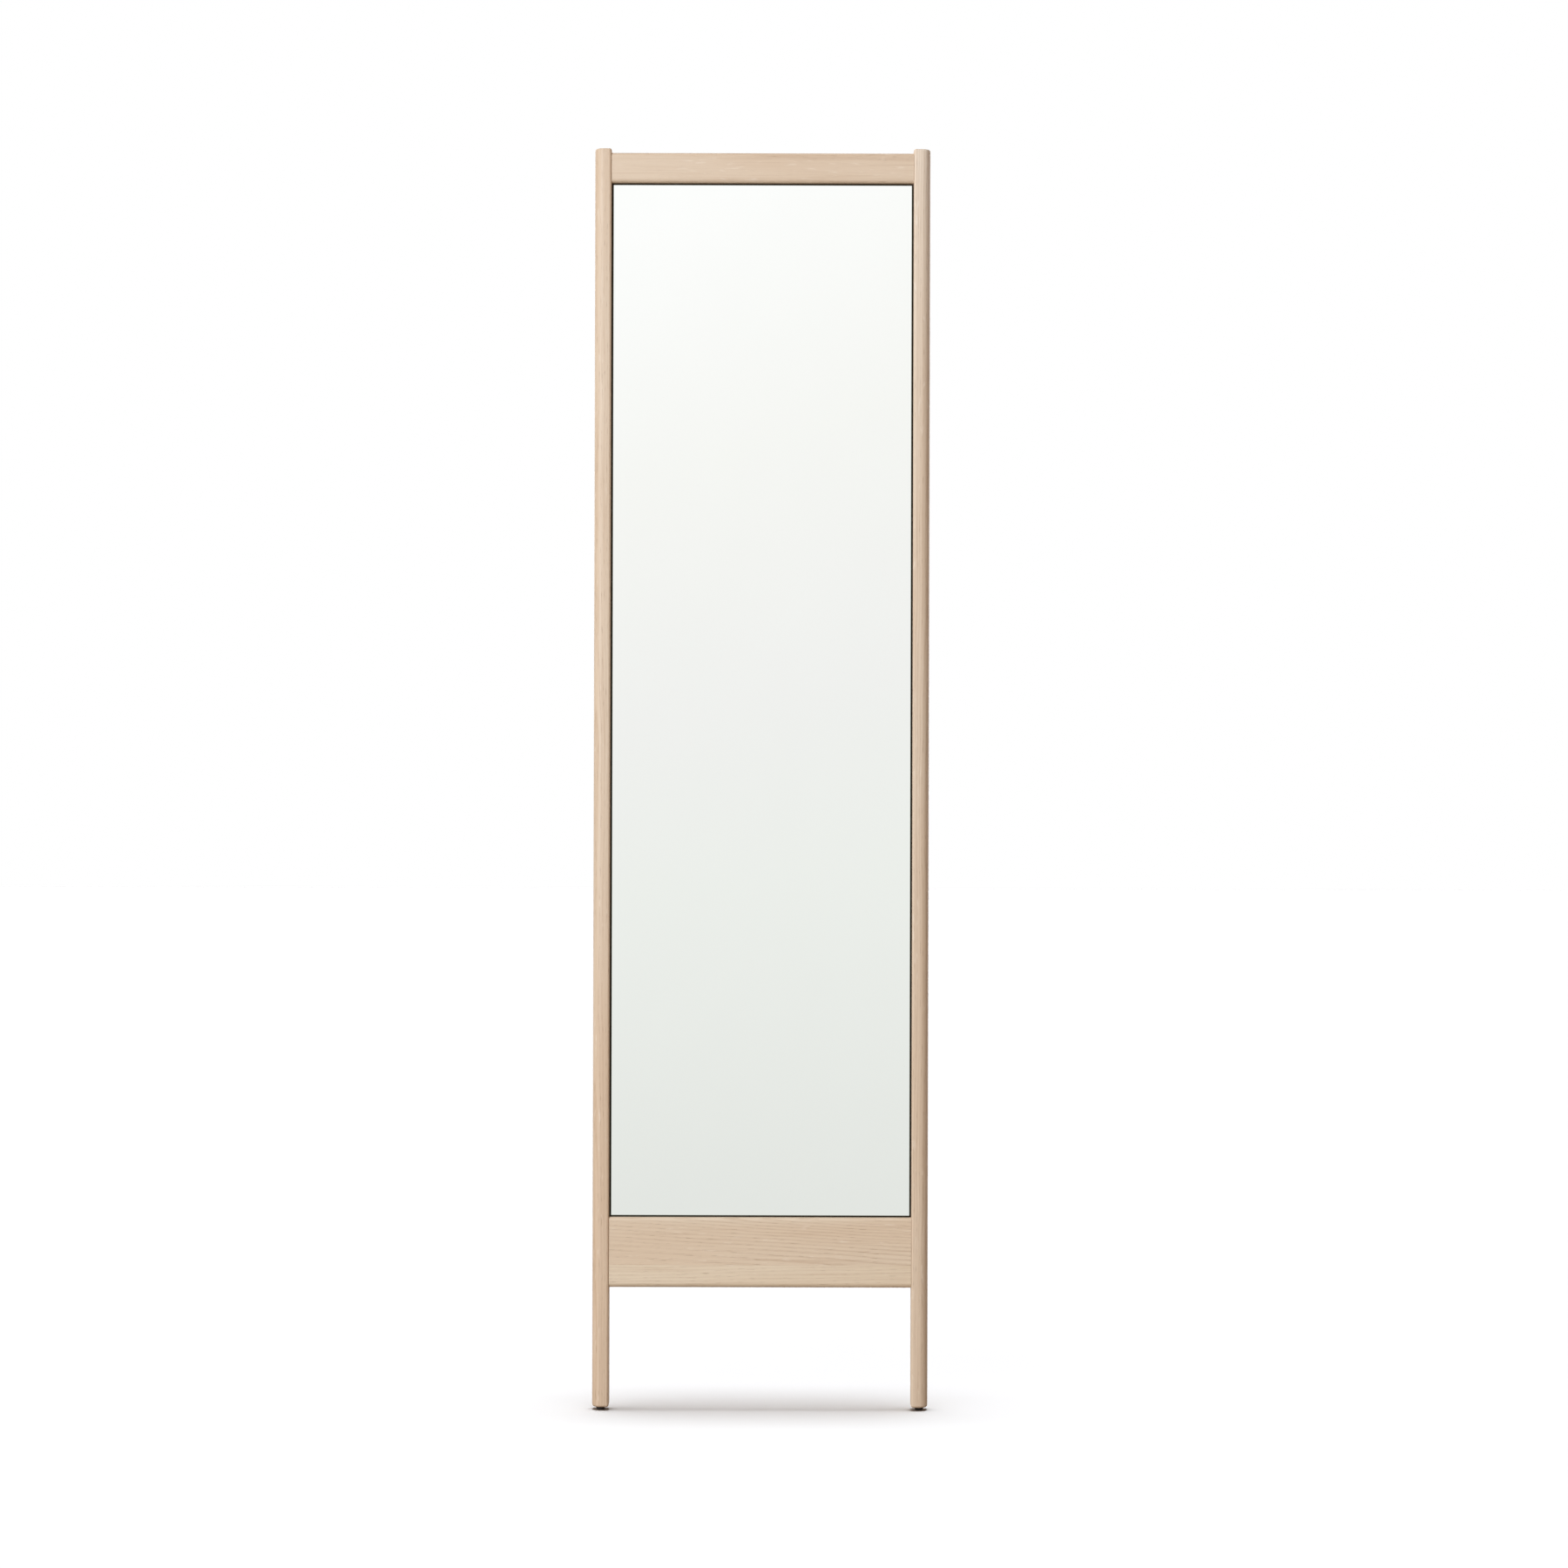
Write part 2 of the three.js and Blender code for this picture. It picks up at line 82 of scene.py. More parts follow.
ROOM_STOPS = ((0, (0.84, 0.85, 0.84, 1)), (1, WHITE))  # the room that reflections show, from the horizon up
ROOM_RISE = 0.8
ROOM_RIGHT = (0.55, 0.47, 0.4, 1)  # the share of it that is left on the side away from the fill
KEY = {
    "place": (-4.9, -8.1, 3.9),
    "aim": (0, 0, 0.8),
    "energy": 795,
    "tint": (0.82, 0.92, 1.03),
    "size": 3.2,
}
COOL = {
    "place": (0.08, -0.6, 2.35),
    "aim": (0.25, 0, 1.95),
    "energy": 2.6,
    "tint": (0.4, 0.66, 1),
    "size": 0.3,
}
BACK_LEFT = {
    "place": (-1.6, 4.0, 3.0),
    "aim": (0, 0, 1.0),
    "energy": 90,
    "tint": (1, 1, 1),
    "size": 4.0,
}
BACK_RIGHT = {
    "place": (2.6, 4.6, 2.0),
    "aim": (0, 0, 1.0),
    "energy": 180,
    "tint": (1, 1, 1),
    "size": 4.0,
}
TOP = {
    "place": (0, -0.03, 4),
    "aim": (0, 0, 0),
    "energy": 3.7,
    "tint": (0.95, 1.01, 1.07),
    "angle": math.radians(14),
}
FLOOR_SIZE = 60
FLOOR_GRID = 4
FLOOR_TONES = ((0.66, 0.66, 0.66, 1), (0.68, 0.68, 0.68, 1))
FLOOR_BOUNCE = (0.22, 0.17, 0.125, 1)  # its colour to the light that it throws back
FLOOR_MIRRORED_NEAR = (0.32, 0.33, 0.32, 1)
FLOOR_MIRRORED_FAR = (0.54, 0.55, 0.54, 1)
FLOOR_FAR = 7.0

# ---- Finishing details ----

ARC_STEPS = 12  # steps in a quarter round
LEAST_RADIUS = 0.3 * MM
EASE = 0.4 * MM  # broken edges on sawn and planed wood
PLAY = 0.3 * MM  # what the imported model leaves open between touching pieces
HAIRLINE = 0.05 * MM  # what is left open at a glued joint here
OVERCUT = 6 * MM  # how far a cutter runs past the surface it opens
CUTTER_END = 1 * MM  # the same, where there is less room
TO_BACK = Matrix.Rotation(math.radians(-90), 4, "X")  # turns +Z to +Y
SHARP = {"plain": 35, "turned": 40, "threaded": 45}  # faces that meet at more degrees show a sharp edge
HOLE_SIDES = {"pilot": 20, "clearance": 24, "bore": 32, "sink": 40}

STILE = {"outer": 14 * MM, "inner": 4 * MM, "back": 4 * MM, "top": 3 * MM, "foot": 4 * MM}
TOP_RAIL = {"lower": 7 * MM, "upper": 6 * MM, "back": 3 * MM}
BOTTOM_RAIL = {"lower": 8 * MM, "upper": 5 * MM, "back": 3 * MM}
KEYHOLE = {"hole": 4.5 * MM, "slot": 2.4 * MM, "centre": 1925 * MM, "slot_top": 1933 * MM}
POCKET = {"half_width": 6.5 * MM, "depth": 7 * MM, "height": 22 * MM}  # behind the keyhole
REBATE_PLAY = 0.5 * MM
GLASS_ARRIS = 0.7 * MM
FACE_ON = 0.99  # a face of the pane is its front or back where its normal's share along Y is more
TAPE_EDGE = 0.35 * MM

WOOD_THREAD = {"pitch": 1.3 * MM, "depth": 0.55 * MM, "crest": 0.1, "flank": 0.4}
M6_THREAD = {"pitch": 1.0 * MM, "depth": 0.6 * MM, "crest": 0.12, "flank": 0.76}
SCREW_SHANK = 1.7 * MM
SCREW_LENGTH = 13 * MM
SCREW_POINT = 3.5 * MM
SCREW_SIDES = 32
SCREW_ROWS = 96  # along the shank
RECESS = {"wing": 1.9 * MM, "slot": 0.42 * MM, "depth": 1.7 * MM, "floor": 0.5, "mouth": 1.3}
PAN_HEAD = 2.2 * MM
PAN_CROWN = 0.45  # radius of the head's rounded rim, as a share of its height
FLAT_HEAD = 1.7 * MM
CLEARANCE_HOLE = 2.2 * MM

DOWEL_FLUTES = 16
DOWEL_FLUTE_DEPTH = 0.35 * MM
DOWEL_CHAMFER = 1 * MM
INSERT = {"edge": 0.5 * MM, "barbs": 6, "sides": 48}
STEM = {"chamfer": 1 * MM, "sides": 40, "steps_a_turn": 12}
FLANGE = {"radius": 4.5 * MM, "low": 1.5 * MM, "high": 2.5 * MM}
PAD = {"top": 6.75 * MM, "floor": 4 * MM, "shoulder": 3.6 * MM, "lip": 0.4 * MM, "lip_steps": 4}
RUBBER_SIDES = 64
STEM_RADIUS = 3 * MM
PLATE_CORNER = 3 * MM
PLATE_EDGE = 0.3 * MM
BUMPER = {"edge": 0.9 * MM, "dish": 4.5 * MM, "dish_depth": 0.5 * MM, "draft": 0.5 * MM}

# Each board's growth rings. The order names the axes across, into and along the grain. The pith is a place
# across the grain and behind the origin, and the slant is the grain's slope.
GRAIN = {
    "left_stile": {"order": "XYZ", "pith": (-0.075, 0.11), "slant": 0.004},
    "right_stile": {"order": "XYZ", "pith": (0.09, 0.10), "slant": -0.003},
    "top_rail": {"order": "ZYX", "pith": (1.93, 0.16), "slant": 0.012},
    "bottom_rail_upper_board": {"order": "ZYX", "pith": (0.205, 0.08), "slant": 0.07},
    "bottom_rail_lower_board": {"order": "ZYX", "pith": (0.33, 0.12), "slant": -0.015},
}
DOWEL_GRAIN = {"order": "ZYX", "pith": (0.05, 0.04), "slant": 0.0, "ring_width": 2 * MM}
RING_WIDTH = 3.4 * MM
RING_WAVER = 20 * MM
SEEDS = {
    "left_stile": 9,
    "right_stile": 11,
    "top_rail": 21,
    "bottom_rail_upper_board": 32,
    "bottom_rail_lower_board": 43,
    "dowel": 5,
    "screw": 17,
}

stile_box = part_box("left_stile")
top_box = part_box("top_rail")
upper_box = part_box("bottom_rail_upper_board")
board_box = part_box("backing_board")
FRONT = stile_box[0].y
SHOULDER = board_box[0].y - PLAY  # the rebate's depth, where the board rests
BACK_SCREWS = sorted(node for node in frame["nodes"] if node.startswith("back_screw"))
DOWELS = sorted(node for node in frame["nodes"] if node.startswith("dowel"))


# ---- Mesh building ----


def centre_of(node):
    low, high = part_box(node)
    return (low + high) / 2


def half_size(node):
    low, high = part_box(node)
    return (high - low) / 2


def floor_under(node):
    """The place on the floor below a node's centre."""
    place = centre_of(node)
    place.z = 0
    return place


def rounded_outline(low, high, radii, inset=0.0):
    """A rectangle's outline, anticlockwise from its low, low corner. A corner of radius 0 stays sharp."""
    corners = (
        (low[0], low[1], 1, 1, 180),
        (high[0], low[1], -1, 1, 270),
        (high[0], high[1], -1, -1, 0),
        (low[0], high[1], 1, -1, 90),
    )
    points = []
    for (u, v, inward_u, inward_v, start), radius in zip(corners, radii):
        if radius == 0:
            points.append((u + inward_u * inset, v + inward_v * inset))
            continue
        arc = max(radius - inset, LEAST_RADIUS)
        centre_u = u + inward_u * (arc + inset)
        centre_v = v + inward_v * (arc + inset)
        for step in range(ARC_STEPS + 1):
            angle = math.radians(start + 90 * step / ARC_STEPS)
            points.append((centre_u + arc * math.cos(angle), centre_v + arc * math.sin(angle)))
    return points


def new_piece(name, mesh):
    """Turns a bmesh into a linked object."""
    bmesh.ops.recalc_face_normals(mesh, faces=mesh.faces)
    data = bpy.data.meshes.new(name)
    mesh.to_mesh(data)
    mesh.free()
    piece = bpy.data.objects.new(name, data)
    bpy.context.scene.collection.objects.link(piece)
    return piece


def loft(name, rings):
    """A closed solid through rings of equal length, with a flat cap at each end."""
    mesh = bmesh.new()
    rows = [[mesh.verts.new(point) for point in ring] for ring in rings]
    count = len(rings[0])
    for lower, upper in zip(rows, rows[1:]):
        for i in range(count):
            after = (i + 1) % count
            mesh.faces.new((lower[i], lower[after], upper[after], upper[i]))
    mesh.faces.new(rows[0])
    mesh.faces.new(rows[-1])
    return new_piece(name, mesh)


def upright(outline, height):
    return [(u, v, height) for u, v in outline]


def sideways(outline, x):
    return [(x, u, v) for u, v in outline]


def facing_front(outline, y):
    return [(u, y, v) for u, v in outline]


def thread_radius(radius, height, angle, thread):
    """The radius of a single-start right-hand thread at a place on it."""
    turn = (height / thread["pitch"] - angle / math.tau) % 1
    from_crest = abs(2 * turn - 1)
    cut = min(1, max(0, (from_crest - thread["crest"]) / thread["flank"]))
    return radius - thread["depth"] * cut


def turned(name, profile, sides, thread=None):
    """Turns a profile about Z. It runs from the axis to the axis, or closes on itself.
    A point is (radius, height), or (radius, height, True) where the thread is cut."""
    mesh = bmesh.new()
    rows = []
    for radius, height, *threaded in profile:
        if radius == 0:
            rows.append([mesh.verts.new((0, 0, height))] * sides)
            continue
        row = []
        for i in range(sides):
            angle = math.tau * i / sides
            r = thread_radius(radius, height, angle, thread) if threaded else radius
            row.append(mesh.verts.new((r * math.cos(angle), r * math.sin(angle), height)))
        rows.append(row)
    if profile[0][0] > 0:
        rows.append(rows[0])
    for lower, upper in zip(rows, rows[1:]):
        for i in range(sides):
            after = (i + 1) % sides
            corners = (lower[i], lower[after], upper[after], upper[i])
            mesh.faces.new(tuple(dict.fromkeys(corners)))
    return new_piece(name, mesh)


def arc_profile(centre, radius, start, end, steps=6):
    """Points of an arc in (radius, height), with its angles in degrees from the outward direction."""
    points = []
    for step in range(steps + 1):
        angle = math.radians(start + (end - start) * step / steps)
        points.append((centre[0] + radius * math.cos(angle), centre[1] + radius * math.sin(angle)))
    return points


def rod(place, direction, radius, start, end, sides=HOLE_SIDES["bore"]):
    """A cutter for a round hole along an axis, from start to end on that axis."""
    piece = turned("cutter", [(0, start), (radius, start), (radius, end), (0, end)], sides)
    turn = Vector((0, 0, 1)).rotation_difference(direction).to_matrix().to_4x4()
    piece.data.transform(Matrix.Translation(place) @ turn)
    return piece


def block(low, high):
    return loft(
        "cutter",
        [upright(rounded_outline(low[:2], high[:2], (0, 0, 0, 0)), z) for z in (low[2], high[2])],
    )


def bake_modifiers(piece):
    """Applies a piece's modifiers, so that its mesh is the shape that shows."""
    depsgraph = bpy.context.evaluated_depsgraph_get()
    final = bpy.data.meshes.new_from_object(piece.evaluated_get(depsgraph), depsgraph=depsgraph)
    final.name = piece.name
    piece.modifiers.clear()
    piece.data = final


def carve(piece, cutters):
    """Cuts each cutter out of the piece and throws the cutters away."""
    for cutter in cutters:
        modifier = piece.modifiers.new("carve", "BOOLEAN")
        modifier.operation = "DIFFERENCE"
        modifier.solver = "EXACT"
        modifier.object = cutter
    bake_modifiers(piece)
    for cutter in cutters:
        bpy.data.objects.remove(cutter)


def ease_edges(piece, width, segments=2, angle=50):
    """Rounds every edge sharper than the angle, in degrees."""
    modifier = piece.modifiers.new("ease", "BEVEL")
    modifier.width = width
    modifier.segments = segments
    modifier.limit_method = "ANGLE"
    modifier.angle_limit = math.radians(angle)
    bake_modifiers(piece)


def smooth(piece, sharp=SHARP["plain"]):
    """Smooth shading with true flats: faces meet sharply above the angle, in degrees."""
    piece.data.shade_smooth()
    piece.data.set_sharp_from_angle(angle=math.radians(sharp))
    modifier = piece.modifiers.new("normals", "WEIGHTED_NORMAL")
    modifier.keep_sharp = True
    bake_modifiers(piece)


def stand_in(piece, node, *materials):
    """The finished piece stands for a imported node: it takes its body."""
    piece.data.materials.clear()
    for material in materials:
        piece.data.materials.append(material)
    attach(piece, BODY_OF[node])
    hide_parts(node)


# ---- Material building ----


def colour(red, green, blue):
    """A linear colour from 8-bit screen values."""
    linear = [((c / 255 + 0.055) / 1.055) ** 2.4 if c > 10 else c / 255 / 12.92 for c in (red, green, blue)]
    return (*linear, 1)


class Nodes:
    """A node tree. Its methods add nodes, and most return their output sockets."""

    def __init__(self, tree):
        self.tree = tree

    def add(self, kind, inputs=None, **settings):
        node = self.tree.nodes.new(kind)
        for name, value in settings.items():
            setattr(node, name, value)
        for name, value in (inputs or {}).items():
            self.feed(node.inputs[name], value)
        return node

    def feed(self, socket, value):
        if isinstance(value, bpy.types.NodeSocket):
            self.tree.links.new(value, socket)
        else:
            socket.default_value = value

    def math(self, operation, *values):
        return self.add("ShaderNodeMath", dict(enumerate(values)), operation=operation).outputs[0]

    def stretched(self, place, scale):
        inputs = {0: place, 1: scale}
        return self.add("ShaderNodeVectorMath", inputs, operation="MULTIPLY").outputs[0]

    def noise(self, place, scale, detail=2.0, roughness=0.5):
        """Noise from about 0 to 1, with a scale for each direction in features per metre."""
        inputs = {
            "Vector": self.stretched(place, scale),
            "Scale": 1.0,
            "Detail": detail,
            "Roughness": roughness,
        }
        return self.add("ShaderNodeTexNoise", inputs).outputs[0]

    def remap(self, value, low, high, to_low=0.0, to_high=1.0, curve="SMOOTHSTEP"):
        inputs = {0: value, 1: low, 2: high, 3: to_low, 4: to_high}
        return self.add("ShaderNodeMapRange", inputs, interpolation_type=curve).outputs[0]

    def mix(self, factor, first, second, blend="MIX"):
        inputs = {0: factor, 6: first, 7: second}
        return self.add("ShaderNodeMix", inputs, data_type="RGBA", blend_type=blend).outputs[2]

    def ramp(self, value, stops):
        node = self.add("ShaderNodeValToRGB", {0: value})
        elements = node.color_ramp.elements
        while len(elements) < len(stops):
            elements.new(0.5)
        for element, (position, shade) in zip(elements, stops):
            element.position = position
            element.color = shade
        return node.outputs[0]


class Shader(Nodes):
    """A material's node tree, with its principled shader and the object's own coordinates."""

    def __init__(self, name):
        self.material = bpy.data.materials.new(name)
        self.material.use_nodes = True
        super().__init__(self.material.node_tree)
        self.principled = self.tree.nodes["Principled BSDF"]
        self.place = self.add("ShaderNodeTexCoord").outputs["Object"]

    def set(self, **inputs):
        """Sets the principled shader's sockets; an underscore stands for a space."""
        for name, value in inputs.items():
            self.feed(self.principled.inputs[name.replace("_", " ")], value)

    def bump(self, height, distance, strength=1.0):
        inputs = {"Height": height, "Distance": distance, "Strength": strength}
        self.set(Normal=self.add("ShaderNodeBump", inputs).outputs[0])


def growth_rings(shader, axes, spot, pith, slant, ring_width):
    """Porous bands about a slanting, wavering pith, one to a ring, from 0 to 1."""
    across, deep, along = axes
    waver = shader.noise(spot, (14, 14, 2.4), detail=3)
    lean = shader.math("MULTIPLY_ADD", along, slant, -pith[0])
    wandering = shader.math("MULTIPLY", waver, RING_WAVER)
    across_off = shader.math("ADD", shader.math("ADD", across, lean), wandering)
    behind_off = shader.math("SUBTRACT", deep, pith[1])
    squares = [shader.math("POWER", shader.math("ABSOLUTE", off), 2.0) for off in (across_off, behind_off)]
    distance = shader.math("SQRT", shader.math("ADD", *squares))
    phase = shader.math("FRACT", shader.math("DIVIDE", distance, ring_width))
    return shader.math("MULTIPLY", shader.remap(phase, 0.0, 0.14), shader.remap(phase, 0.62, 0.16))


def wood_pores(shader, spot, bands):
    """Short dark pores along the grain, most of them inside the porous bands."""
    specks = shader.remap(shader.noise(spot, (1500, 1500, 55), detail=1), 0.6, 0.72)
    return shader.math("MULTIPLY", specks, shader.remap(bands, 0.0, 0.6, 0.25, 1.0))


def wood_colour(shader, spot, bands, fibre, pore, tones):
    """The board's drifting tone, with its bands, streaks, fibres, flecks and pores laid over it in turn."""
    drift = shader.noise(spot, (11, 11, 1.3), detail=2)
    vividness = shader.remap(shader.noise(spot, (26, 26, 2.0)), 0.35, 0.7, 0.25, 1.0)
    streak = shader.remap(shader.noise(spot, (190, 190, 5), detail=3), 0.5, 0.8)
    fleck = shader.remap(shader.noise(spot, (230, 130, 34), detail=2), 0.62, 0.76)
    layers = (
        (shader.math("MULTIPLY", bands, vividness), tones["ring"], tones["line"]),
        (streak, tones["streak"], tones["line"]),
        (shader.remap(fibre, 0.45, 0.75), tones["fibre"], tones["line"]),
        (fleck, tones["fleck_share"], tones["fleck"]),
        (pore, tones["pore_share"], tones["pore"]),
    )
    shade = shader.mix(shader.remap(drift, 0.32, 0.68), tones["pale"], tones["warm"])
    for pattern, share, tone in layers:
        shade = shader.mix(shader.math("MULTIPLY", pattern, share), shade, tone)
    return shade


def wood_relief(shader, bands, fibre, pore):
    """Pores and porous bands sink, and fibres stand a little."""
    relief = shader.math("MULTIPLY_ADD", fibre, 0.35, shader.math("MULTIPLY", pore, -1.0))
    return shader.math("MULTIPLY_ADD", bands, -0.25, relief)


def wood(name, seed, tones, order, pith, slant, ring_width=RING_WIDTH):
    """Planed wood whose grain runs along the order's last axis. The seed gives each board its own noise."""
    shader = Shader(name)
    named = shader.add("ShaderNodeSeparateXYZ", {0: shader.place}).outputs
    axes = [named[letter] for letter in order]
    local = shader.add("ShaderNodeCombineXYZ", dict(enumerate(axes))).outputs[0]
    chance = random.Random(seed)
    offset = [chance.uniform(-5, 5) for _ in range(3)]
    spot = shader.add("ShaderNodeVectorMath", {0: local, 1: offset}, operation="ADD").outputs[0]
    bands = growth_rings(shader, axes, spot, pith, slant, ring_width)
    fibre = shader.noise(spot, (700, 700, 9), detail=3, roughness=0.6)
    pore = wood_pores(shader, spot, bands)
    shader.set(
        Base_Color=wood_colour(shader, spot, bands, fibre, pore, tones),
        Roughness=shader.remap(fibre, 0.25, 0.75, 0.46, 0.6),
        Specular_IOR_Level=0.45,
    )
    shader.bump(wood_relief(shader, bands, fibre, pore), 0.08 * MM, 0.7)
    return shader.material


OAK = {
    "pale": colour(222, 201, 176),
    "warm": colour(214, 188, 160),
    "line": colour(188, 156, 124),
    "fleck": colour(236, 220, 200),
    "pore": colour(150, 118, 88),
    "ring": 0.42,
    "streak": 0.3,
    "fibre": 0.22,
    "fleck_share": 0.45,
    "pore_share": 0.5,
}
PALER_OAK = {**OAK, "pale": colour(226, 207, 182), "warm": colour(219, 195, 167)}
PALEST_OAK = {**OAK, "pale": colour(228, 210, 184), "warm": colour(221, 199, 170)}
BEECH = {
    **OAK,
    "pale": colour(222, 186, 146),
    "warm": colour(210, 170, 130),
    "line": colour(176, 130, 92),
    "pore": colour(140, 98, 66),
}


def mirror_silver():
    shader = Shader("mirror silver")
    haze = shader.noise(shader.place, (9, 9, 7), detail=4)
    tint = shader.mix(haze, (0.925, 0.935, 0.93, 1), (0.94, 0.95, 0.945, 1))
    shader.set(Base_Color=tint, Metallic=1.0, Roughness=shader.remap(haze, 0.3, 0.8, 0.008, 0.02))
    return shader.material


def glass_edge():
    shader = Shader("ground glass edge")
    scratches = shader.noise(shader.place, (900, 900, 900), detail=3)
    tint = shader.mix(scratches, colour(120, 150, 138), colour(160, 184, 172))
    shader.set(Base_Color=tint, Roughness=shader.remap(scratches, 0.3, 0.7, 0.18, 0.35))
    shader.bump(scratches, 0.02 * MM)
    return shader.material


def mirror_paint():
    shader = Shader("mirror back paint")
    peel = shader.noise(shader.place, (420, 420, 420), detail=2)
    tint = shader.mix(peel, colour(96, 92, 84), colour(112, 107, 98))
    shader.set(Base_Color=tint, Roughness=shader.remap(peel, 0.3, 0.7, 0.4, 0.55))
    shader.bump(peel, 0.06 * MM)
    return shader.material


def fibreboard():
    """Dark brown board: matted fibres of mixed tone, with pale and black specks."""
    shader = Shader("dark fibreboard")
    mat = shader.noise(shader.place, (260, 260, 420), detail=4, roughness=0.7)
    specks = shader.noise(shader.place, (1400, 1400, 900), detail=2)
    cloud = shader.noise(shader.place, (6, 6, 4), detail=3)
    tint = shader.mix(shader.remap(mat, 0.3, 0.7), colour(52, 38, 30), colour(82, 62, 49))
    tint = shader.mix(shader.remap(specks, 0.64, 0.76, 0.0, 0.6), tint, colour(120, 96, 76))
    tint = shader.mix(shader.remap(cloud, 0.3, 0.7, 0.0, 0.35), tint, colour(44, 32, 26))
    shader.set(Base_Color=tint, Roughness=shader.remap(mat, 0.3, 0.7, 0.62, 0.85), Specular_IOR_Level=0.35)
    shader.bump(mat, 0.12 * MM, 0.8)
    return shader.material


def foam():
    shader = Shader("foam tape")
    cells = shader.add(
        "ShaderNodeTexVoronoi", {"Vector": shader.stretched(shader.place, (2600, 2600, 2600)), "Scale": 1.0}
    ).outputs[0]
    tint = shader.mix(cells, colour(30, 30, 31), colour(58, 58, 60))
    shader.set(Base_Color=tint, Roughness=0.9)
    shader.bump(cells, 0.1 * MM)
    return shader.material


def plated_steel():
    """Bright zinc: cloudy grey patches, fine polishing marks and uneven gloss."""
    shader = Shader("zinc-plated steel")
    patches = shader.noise(shader.place, (320, 320, 320), detail=4, roughness=0.65)
    marks = shader.noise(shader.place, (90, 4200, 4200), detail=2)
    tint = shader.mix(shader.remap(patches, 0.3, 0.7), colour(158, 161, 165), colour(190, 191, 189))
    gloss = shader.math("MULTIPLY_ADD", marks, 0.12, shader.remap(patches, 0.3, 0.7, 0.3, 0.45))
    shader.set(Base_Color=tint, Metallic=1.0, Roughness=gloss)
    shader.bump(marks, 0.01 * MM)
    return shader.material


def turned_brass():
    shader = Shader("turned brass")
    rings = shader.noise(shader.place, (60, 60, 5200), detail=2)
    tint = shader.mix(rings, colour(206, 170, 104), colour(226, 192, 128))
    shader.set(Base_Color=tint, Metallic=1.0, Roughness=shader.remap(rings, 0.3, 0.7, 0.24, 0.4))
    shader.bump(rings, 0.015 * MM)
    return shader.material


def moulded_rubber():
    shader = Shader("moulded rubber")
    grain = shader.noise(shader.place, (1900, 1900, 1900), detail=3, roughness=0.6)
    dust = shader.noise(shader.place, (130, 130, 130), detail=3)
    tint = shader.mix(shader.remap(dust, 0.4, 0.75, 0.0, 0.5), colour(40, 33, 30), colour(66, 57, 52))
    shader.set(Base_Color=tint, Roughness=shader.remap(grain, 0.3, 0.7, 0.55, 0.75))
    shader.bump(grain, 0.05 * MM, 0.8)
    return shader.material


# ---- The oak frame ----


def dowel_holes(nodes):
    holes = []
    for node in nodes:
        half = half_size(node)
        reach = half.x + PLAY
        holes.append(rod(centre_of(node), Vector((1, 0, 0)), half.z + PLAY, -reach, reach))
    return holes


def screw_holes(nodes):
    """Pilot holes for the screws, open towards the back."""
    holes = []
    for node in nodes:
        low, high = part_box(node)
        middle = centre_of(node)
        place = Vector((middle.x, 0, middle.z))
        ends = (low.y - CUTTER_END, high.y + OVERCUT)
        holes.append(rod(place, Vector((0, 1, 0)), SCREW_SHANK + PLAY, *ends, HOLE_SIDES["pilot"]))
    return holes


def stile_rings(low, high, sign):
    """Outlines up a stile, drawn in at each end to round it."""
    front = (STILE["outer"], STILE["inner"])
    radii = (*(front if sign < 0 else front[::-1]), STILE["back"], STILE["back"])
    steps = ARC_STEPS // 2
    rings = []
    for end, away, end_round in ((low.z, 1, STILE["foot"]), (high.z, -1, STILE["top"])):
        stack = []
        for step in range(steps + 1):
            angle = math.radians(90 * step / steps)
            inset = end_round * (1 - math.sin(angle))
            height = end + away * end_round * (1 - math.cos(angle))
            stack.append(upright(rounded_outline(low[:2], high[:2], radii, inset), height))
        rings += stack if away > 0 else stack[::-1]
    return rings


def stile_rebate(sign, back):
    """The cutter for the step that the backing board sits in."""
    wall_x = sign * (board_box[1].x + REBATE_PLAY)
    open_x = sign * (abs(stile_box[1].x) - OVERCUT)
    return block(
        (min(wall_x, open_x), SHOULDER, board_box[0].z - REBATE_PLAY),
        (max(wall_x, open_x), back + OVERCUT, board_box[1].z + REBATE_PLAY),
    )


def leg_bores(side, leg_end):
    """The holes for the foot's insert and, above it, for its stem."""
    insert_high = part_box(f"{side}_foot_insert")[1]
    stem_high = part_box(f"{side}_foot_stem")[1]
    radius = half_size(f"{side}_foot_insert").x
    foot = floor_under(f"{side}_foot_insert")
    up = Vector((0, 0, 1))
    return [
        rod(foot, up, radius + PLAY, leg_end - OVERCUT, insert_high.z + PLAY),
        rod(foot, up, STEM_RADIUS + 2 * PLAY, insert_high.z, stem_high.z + CUTTER_END),
    ]


def build_stile(side, sign):
    node = f"{side}_stile"
    low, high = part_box(node)
    piece = loft(f"{node}_fine", stile_rings(low, high, sign))
    carve(piece, [stile_rebate(sign, high.y)])
    ease_edges(piece, EASE)
    bores = leg_bores(side, low.z)
    bores += dowel_holes([dowel for dowel in DOWELS if side in dowel])
    bores += screw_holes([screw for screw in BACK_SCREWS if screw.startswith(f"back_screw_{side}")])
    carve(piece, bores)
    smooth(piece)
    stand_in(piece, node, wood(f"oak {node}", SEEDS[node], OAK, **GRAIN[node]))


